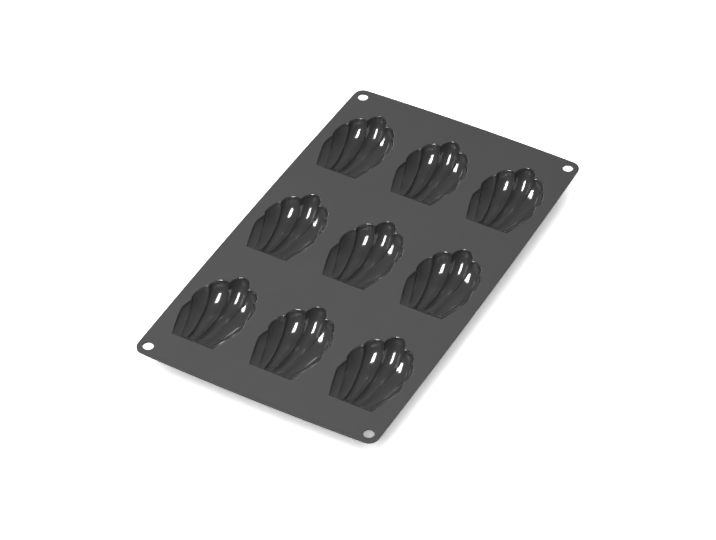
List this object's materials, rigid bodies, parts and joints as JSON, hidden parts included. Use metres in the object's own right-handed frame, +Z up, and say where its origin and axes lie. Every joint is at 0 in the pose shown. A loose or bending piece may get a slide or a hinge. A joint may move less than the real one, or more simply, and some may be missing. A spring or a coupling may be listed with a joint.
{
  "type": "madeleine pan",
  "caption": "Flat flexible silicone baking sheet with rows of fluted scallop-shell cups hanging below it and a round hole in each corner.",
  "frame": {"origin": "on the surface that the cups stand on, under the middle of the sheet", "axes": "+X across the sheet, +Y along it from the cups' straight ends to their fluted ends, +Z up"},
  "size_m": [0.175, 0.3, 0.0171],
  "materials": {
    "sheet_silicone": "matte silicone",
    "cup_silicone": "glossy silicone"
  },
  "bodies": {
    "root": {"sheet": "sheet_silicone", "cup_near_left": "cup_silicone", "cup_near_middle": "cup_silicone", "cup_near_right": "cup_silicone", "cup_middle_left": "cup_silicone", "cup_middle_middle": "cup_silicone", "cup_middle_right": "cup_silicone", "cup_far_left": "cup_silicone", "cup_far_middle": "cup_silicone", "cup_far_right": "cup_silicone"}
  },
  "joints": []
}
